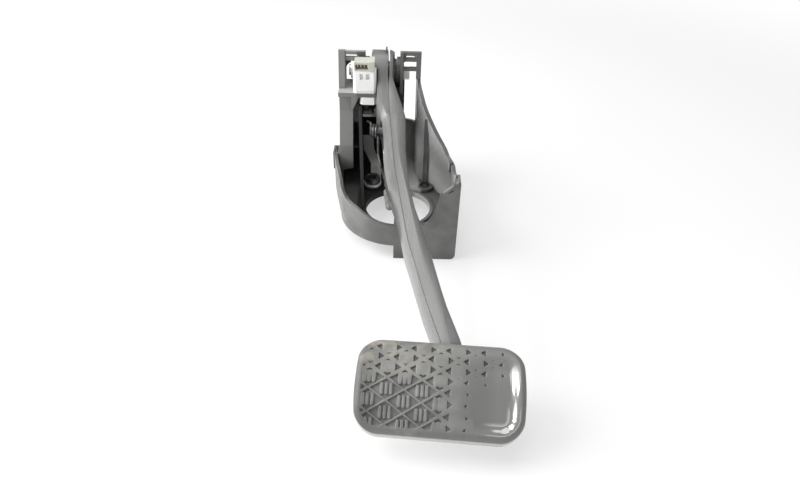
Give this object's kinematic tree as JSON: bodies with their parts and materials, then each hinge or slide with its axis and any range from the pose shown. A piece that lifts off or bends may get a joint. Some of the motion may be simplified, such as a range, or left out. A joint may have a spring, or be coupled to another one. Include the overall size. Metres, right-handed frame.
{
  "type": "brake pedal assembly",
  "caption": "Car brake pedal: pressed steel arm with a wide rubber pad, hung from a pivot in a moulded bulkhead bracket with a light switch and a return spring.",
  "frame": {"origin": "centre of the brake booster bore on the bulkhead face", "axes": "+Z from the bulkhead back to the driver, +Y up the car from the booster bore to the pivot, +X across the car to the right as the driver sees it"},
  "size_m": [0.151, 0.3829, 0.146],
  "materials": {
    "bracket_plastic": "moulded glass filled plastic, satin black",
    "arm_paint": "black dip paint with a light sheen, lightly dusty",
    "zinc_steel": "zinc plated",
    "dark_steel": "dark passivated steel with a film of oil",
    "spring_steel": "oiled spring wire",
    "white_plastic": "white moulding",
    "grey_plastic": "light grey moulding",
    "pad_rubber": "black rubber, worn and dusty",
    "terminal_metal": "plated contacts"
  },
  "bodies": {
    "bracket_body": {"bracket": "bracket_plastic", "top_sleeves": "zinc_steel", "stud_sleeves": "dark_steel", "guide_strip": "zinc_steel", "guide_ring": "dark_steel", "guide_washer": "dark_steel", "pivot_bolt": "zinc_steel", "pivot_washer": "zinc_steel", "pivot_nut": "zinc_steel", "switch_body": "white_plastic", "switch_socket": "grey_plastic", "switch_terminals": "terminal_metal", "switch_collar": "white_plastic", "rest_buffer": "pad_rubber"},
    "plunger_body": {"switch_plunger": "bracket_plastic"},
    "pedal_body": {"arm_left_shell": "arm_paint", "arm_right_shell": "arm_paint", "pivot_tube": "zinc_steel", "pivot_bush_left": "bracket_plastic", "pivot_bush_right": "bracket_plastic", "switch_tab": "arm_paint", "tab_pad": "bracket_plastic", "spring_pin": "dark_steel", "return_spring": "spring_steel", "spring_sleeve": "pad_rubber", "pushrod_bush": "zinc_steel", "pad_plate": "arm_paint", "pad_rubber": "pad_rubber"}
  },
  "joints": [
    {"name": "pedal_swing", "type": "hinge", "parent": "bracket_body", "child": "pedal_body", "pos_m": [0, 0.08, 0.108], "axis": [1, 0, 0], "range_deg": [0, 7.5], "stiffness_Nm_per_rad": 3, "springref_deg": -45.84},
    {"name": "plunger_travel", "type": "slide", "parent": "bracket_body", "child": "plunger_body", "axis": [0, 0, -1], "range_m": [0, 0.004]}
  ],
  "couplings": [
    {"joint": "plunger_travel", "follows": "pedal_swing", "m_per_rad": 0.0275}
  ]
}
